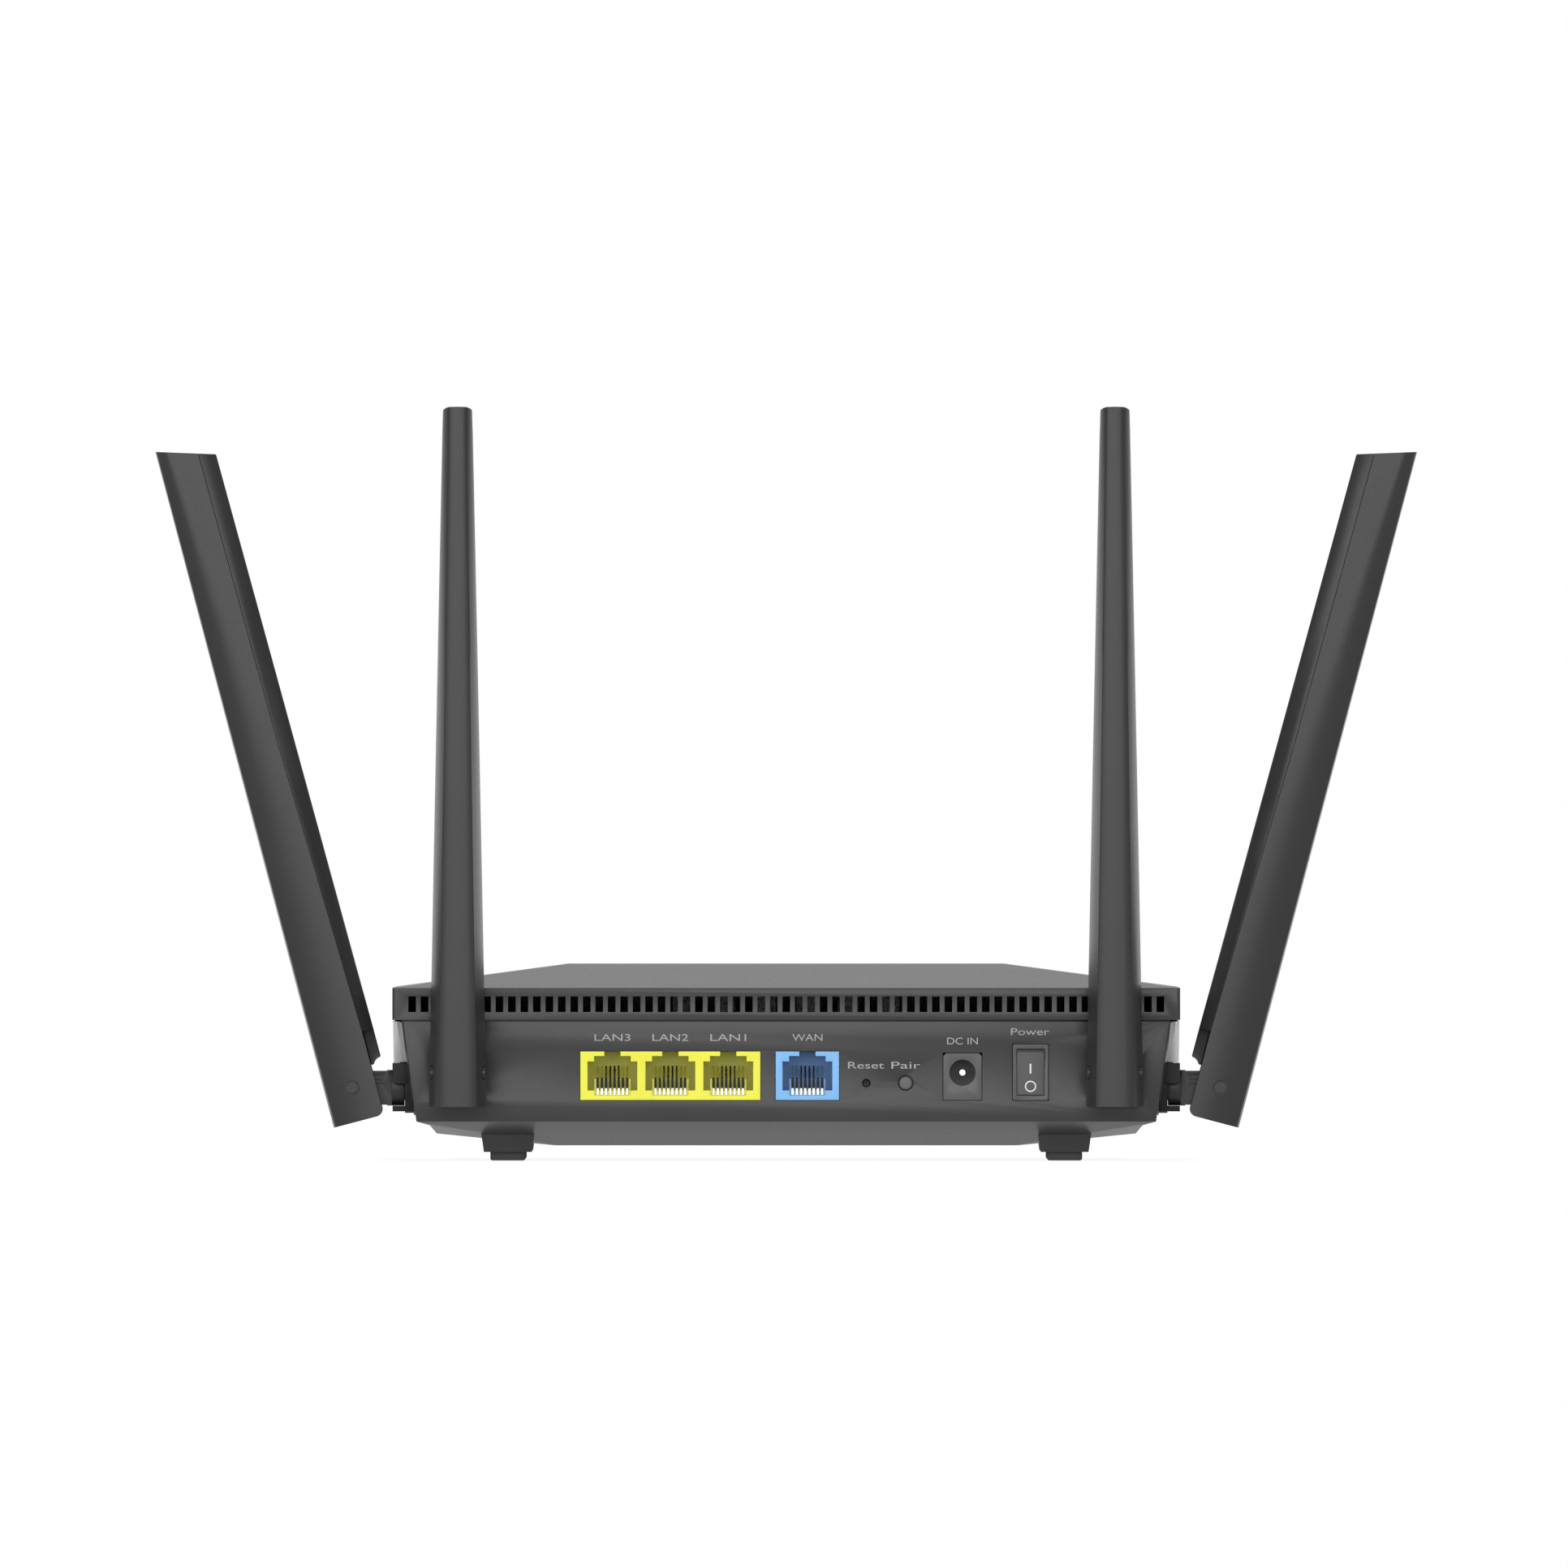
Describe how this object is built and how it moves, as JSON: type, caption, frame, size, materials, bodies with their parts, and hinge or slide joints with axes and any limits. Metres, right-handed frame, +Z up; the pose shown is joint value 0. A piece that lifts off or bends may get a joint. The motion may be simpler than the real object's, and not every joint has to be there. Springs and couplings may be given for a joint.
{
  "type": "wireless router",
  "caption": "Low faceted wireless router with tilting and swivelling paddle antennas, network sockets, power inlet, rocker switch and vent slots",
  "frame": {"origin": "on the surface under the rubber feet, at the middle of the bounding box in X and Y with the antennas as stored", "axes": "+Z up, -Y is the way the port side faces, +X to the right when the ports are looked at"},
  "size_m": [0.3046, 0.1452, 0.1818],
  "materials": {
    "case_plastic": "dark grey textured ABS",
    "antenna_plastic": "dark grey fine-textured ABS",
    "swivel_plastic": "dark grey nylon, satin",
    "socket_plastic": "black nylon",
    "foot_rubber": "black rubber",
    "screw_steel": "zinc plated steel",
    "clip_steel": "spring steel",
    "pin_plastic": "grey acetal",
    "board_laminate": "green solder mask",
    "radiator_board": "glass laminate with copper",
    "lan_yellow": "bright yellow moulded plastic",
    "wan_blue": "light blue moulded plastic",
    "contact_gold": "gold plated spring contacts",
    "jack_plastic": "dark grey nylon",
    "jack_metal": "nickel plated pin",
    "switch_plastic": "dark grey nylon, satin gloss",
    "rocker_plastic": "dark grey nylon, satin gloss",
    "terminal_metal": "tinned legs",
    "tact_body": "black switch bodies",
    "button_plastic": "grey button",
    "lens_clear": "clear light pipe",
    "lamp_white": "surface-mount lamps",
    "chip_black": "moulded chip packages",
    "pad_soft": "soft thermal pad",
    "spreader_metal": "anodised aluminium",
    "can_metal": "tinned screening cans",
    "capacitor_metal": "aluminium can capacitors",
    "plug_metal": "gold plated coaxial plugs",
    "lead_jacket": "black coaxial lead"
  },
  "bodies": {
    "case": {"bottom_housing": "case_plastic", "top_cover": "case_plastic", "rubber_feet": "foot_rubber", "case_screws": "screw_steel", "main_board": "board_laminate", "board_screws": "screw_steel", "lan_port_block": "lan_yellow", "lan_contacts": "contact_gold", "wan_port_block": "wan_blue", "wan_contacts": "contact_gold", "dc_jack": "jack_plastic", "dc_jack_pin": "jack_metal", "power_switch_frame": "switch_plastic", "switch_terminals": "terminal_metal", "reset_switch": "tact_body", "pairing_switch": "tact_body", "light_pipe": "lens_clear", "status_leds": "lamp_white", "processor": "chip_black", "thermal_pad": "pad_soft", "heat_spreader": "spreader_metal", "shield_cans": "can_metal", "radio_chips": "chip_black", "memory_chips": "chip_black", "line_transformers": "chip_black", "power_coils": "chip_black", "capacitors": "capacitor_metal", "lead_plugs": "plug_metal", "swivel_clips": "clip_steel", "rear_left_socket": "socket_plastic", "rear_right_socket": "socket_plastic", "side_left_socket": "socket_plastic", "side_right_socket": "socket_plastic", "rear_left_lead": "lead_jacket", "rear_right_lead": "lead_jacket", "side_left_lead": "lead_jacket", "side_right_lead": "lead_jacket"},
    "rocker": {"power_rocker": "rocker_plastic"},
    "reset": {"reset_plunger": "tact_body"},
    "pairing": {"pairing_button": "button_plastic"},
    "rear_left_swivel_body": {"rear_left_swivel": "swivel_plastic"},
    "rear_left_antenna": {"rear_left_antenna_shell": "antenna_plastic", "rear_left_antenna_cover": "antenna_plastic", "rear_left_radiator": "radiator_board", "rear_left_hinge_pin": "pin_plastic"},
    "rear_right_swivel_body": {"rear_right_swivel": "swivel_plastic"},
    "rear_right_antenna": {"rear_right_antenna_shell": "antenna_plastic", "rear_right_antenna_cover": "antenna_plastic", "rear_right_radiator": "radiator_board", "rear_right_hinge_pin": "pin_plastic"},
    "side_left_swivel_body": {"side_left_swivel": "swivel_plastic"},
    "side_left_antenna": {"side_left_antenna_shell": "antenna_plastic", "side_left_antenna_cover": "antenna_plastic", "side_left_radiator": "radiator_board", "side_left_hinge_pin": "pin_plastic"},
    "side_right_swivel_body": {"side_right_swivel": "swivel_plastic"},
    "side_right_antenna": {"side_right_antenna_shell": "antenna_plastic", "side_right_antenna_cover": "antenna_plastic", "side_right_radiator": "radiator_board", "side_right_hinge_pin": "pin_plastic"}
  },
  "joints": [
    {"name": "rear_left_swivel_turn", "type": "hinge", "parent": "case", "child": "rear_left_swivel_body", "pos_m": [-0.0792, -0.0658, 0.0213], "axis": [0, 1, 0], "range_deg": [-90, 65]},
    {"name": "rear_left_tilt", "type": "hinge", "parent": "rear_left_swivel_body", "child": "rear_left_antenna", "pos_m": [-0.0792, -0.0658, 0.0213], "axis": [1, 0, 0], "range_deg": [0, 90]},
    {"name": "rear_right_swivel_turn", "type": "hinge", "parent": "case", "child": "rear_right_swivel_body", "pos_m": [0.0792, -0.0658, 0.0213], "axis": [0, 1, 0], "range_deg": [-65, 90]},
    {"name": "rear_right_tilt", "type": "hinge", "parent": "rear_right_swivel_body", "child": "rear_right_antenna", "pos_m": [0.0792, -0.0658, 0.0213], "axis": [1, 0, 0], "range_deg": [0, 90]},
    {"name": "side_left_swivel_turn", "type": "hinge", "parent": "case", "child": "side_left_swivel_body", "pos_m": [-0.1047, -0.0408, 0.0176], "axis": [1, 0, 0], "range_deg": [-90, 90]},
    {"name": "side_left_tilt", "type": "hinge", "parent": "side_left_swivel_body", "child": "side_left_antenna", "pos_m": [-0.1047, -0.0408, 0.0176], "axis": [0, -1, 0], "range_deg": [-14.8, 75.2]},
    {"name": "side_right_swivel_turn", "type": "hinge", "parent": "case", "child": "side_right_swivel_body", "pos_m": [0.1047, -0.0408, 0.0176], "axis": [1, 0, 0], "range_deg": [-90, 90]},
    {"name": "side_right_tilt", "type": "hinge", "parent": "side_right_swivel_body", "child": "side_right_antenna", "pos_m": [0.1047, -0.0408, 0.0176], "axis": [0, 1, 0], "range_deg": [-14.8, 75.2]},
    {"name": "rocker_tilt", "type": "hinge", "parent": "case", "child": "rocker", "pos_m": [0.0589, -0.0532, 0.0214], "axis": [-1, 0, 0], "range_deg": [0, 14]},
    {"name": "reset_press", "type": "slide", "parent": "case", "child": "reset", "axis": [0, 1, 0], "range_m": [0, 0.0004], "stiffness_N_per_m": 400, "springref_m": -0.0005},
    {"name": "pairing_press", "type": "slide", "parent": "case", "child": "pairing", "axis": [0, 1, 0], "range_m": [0, 0.0008], "stiffness_N_per_m": 400, "springref_m": -0.001}
  ]
}
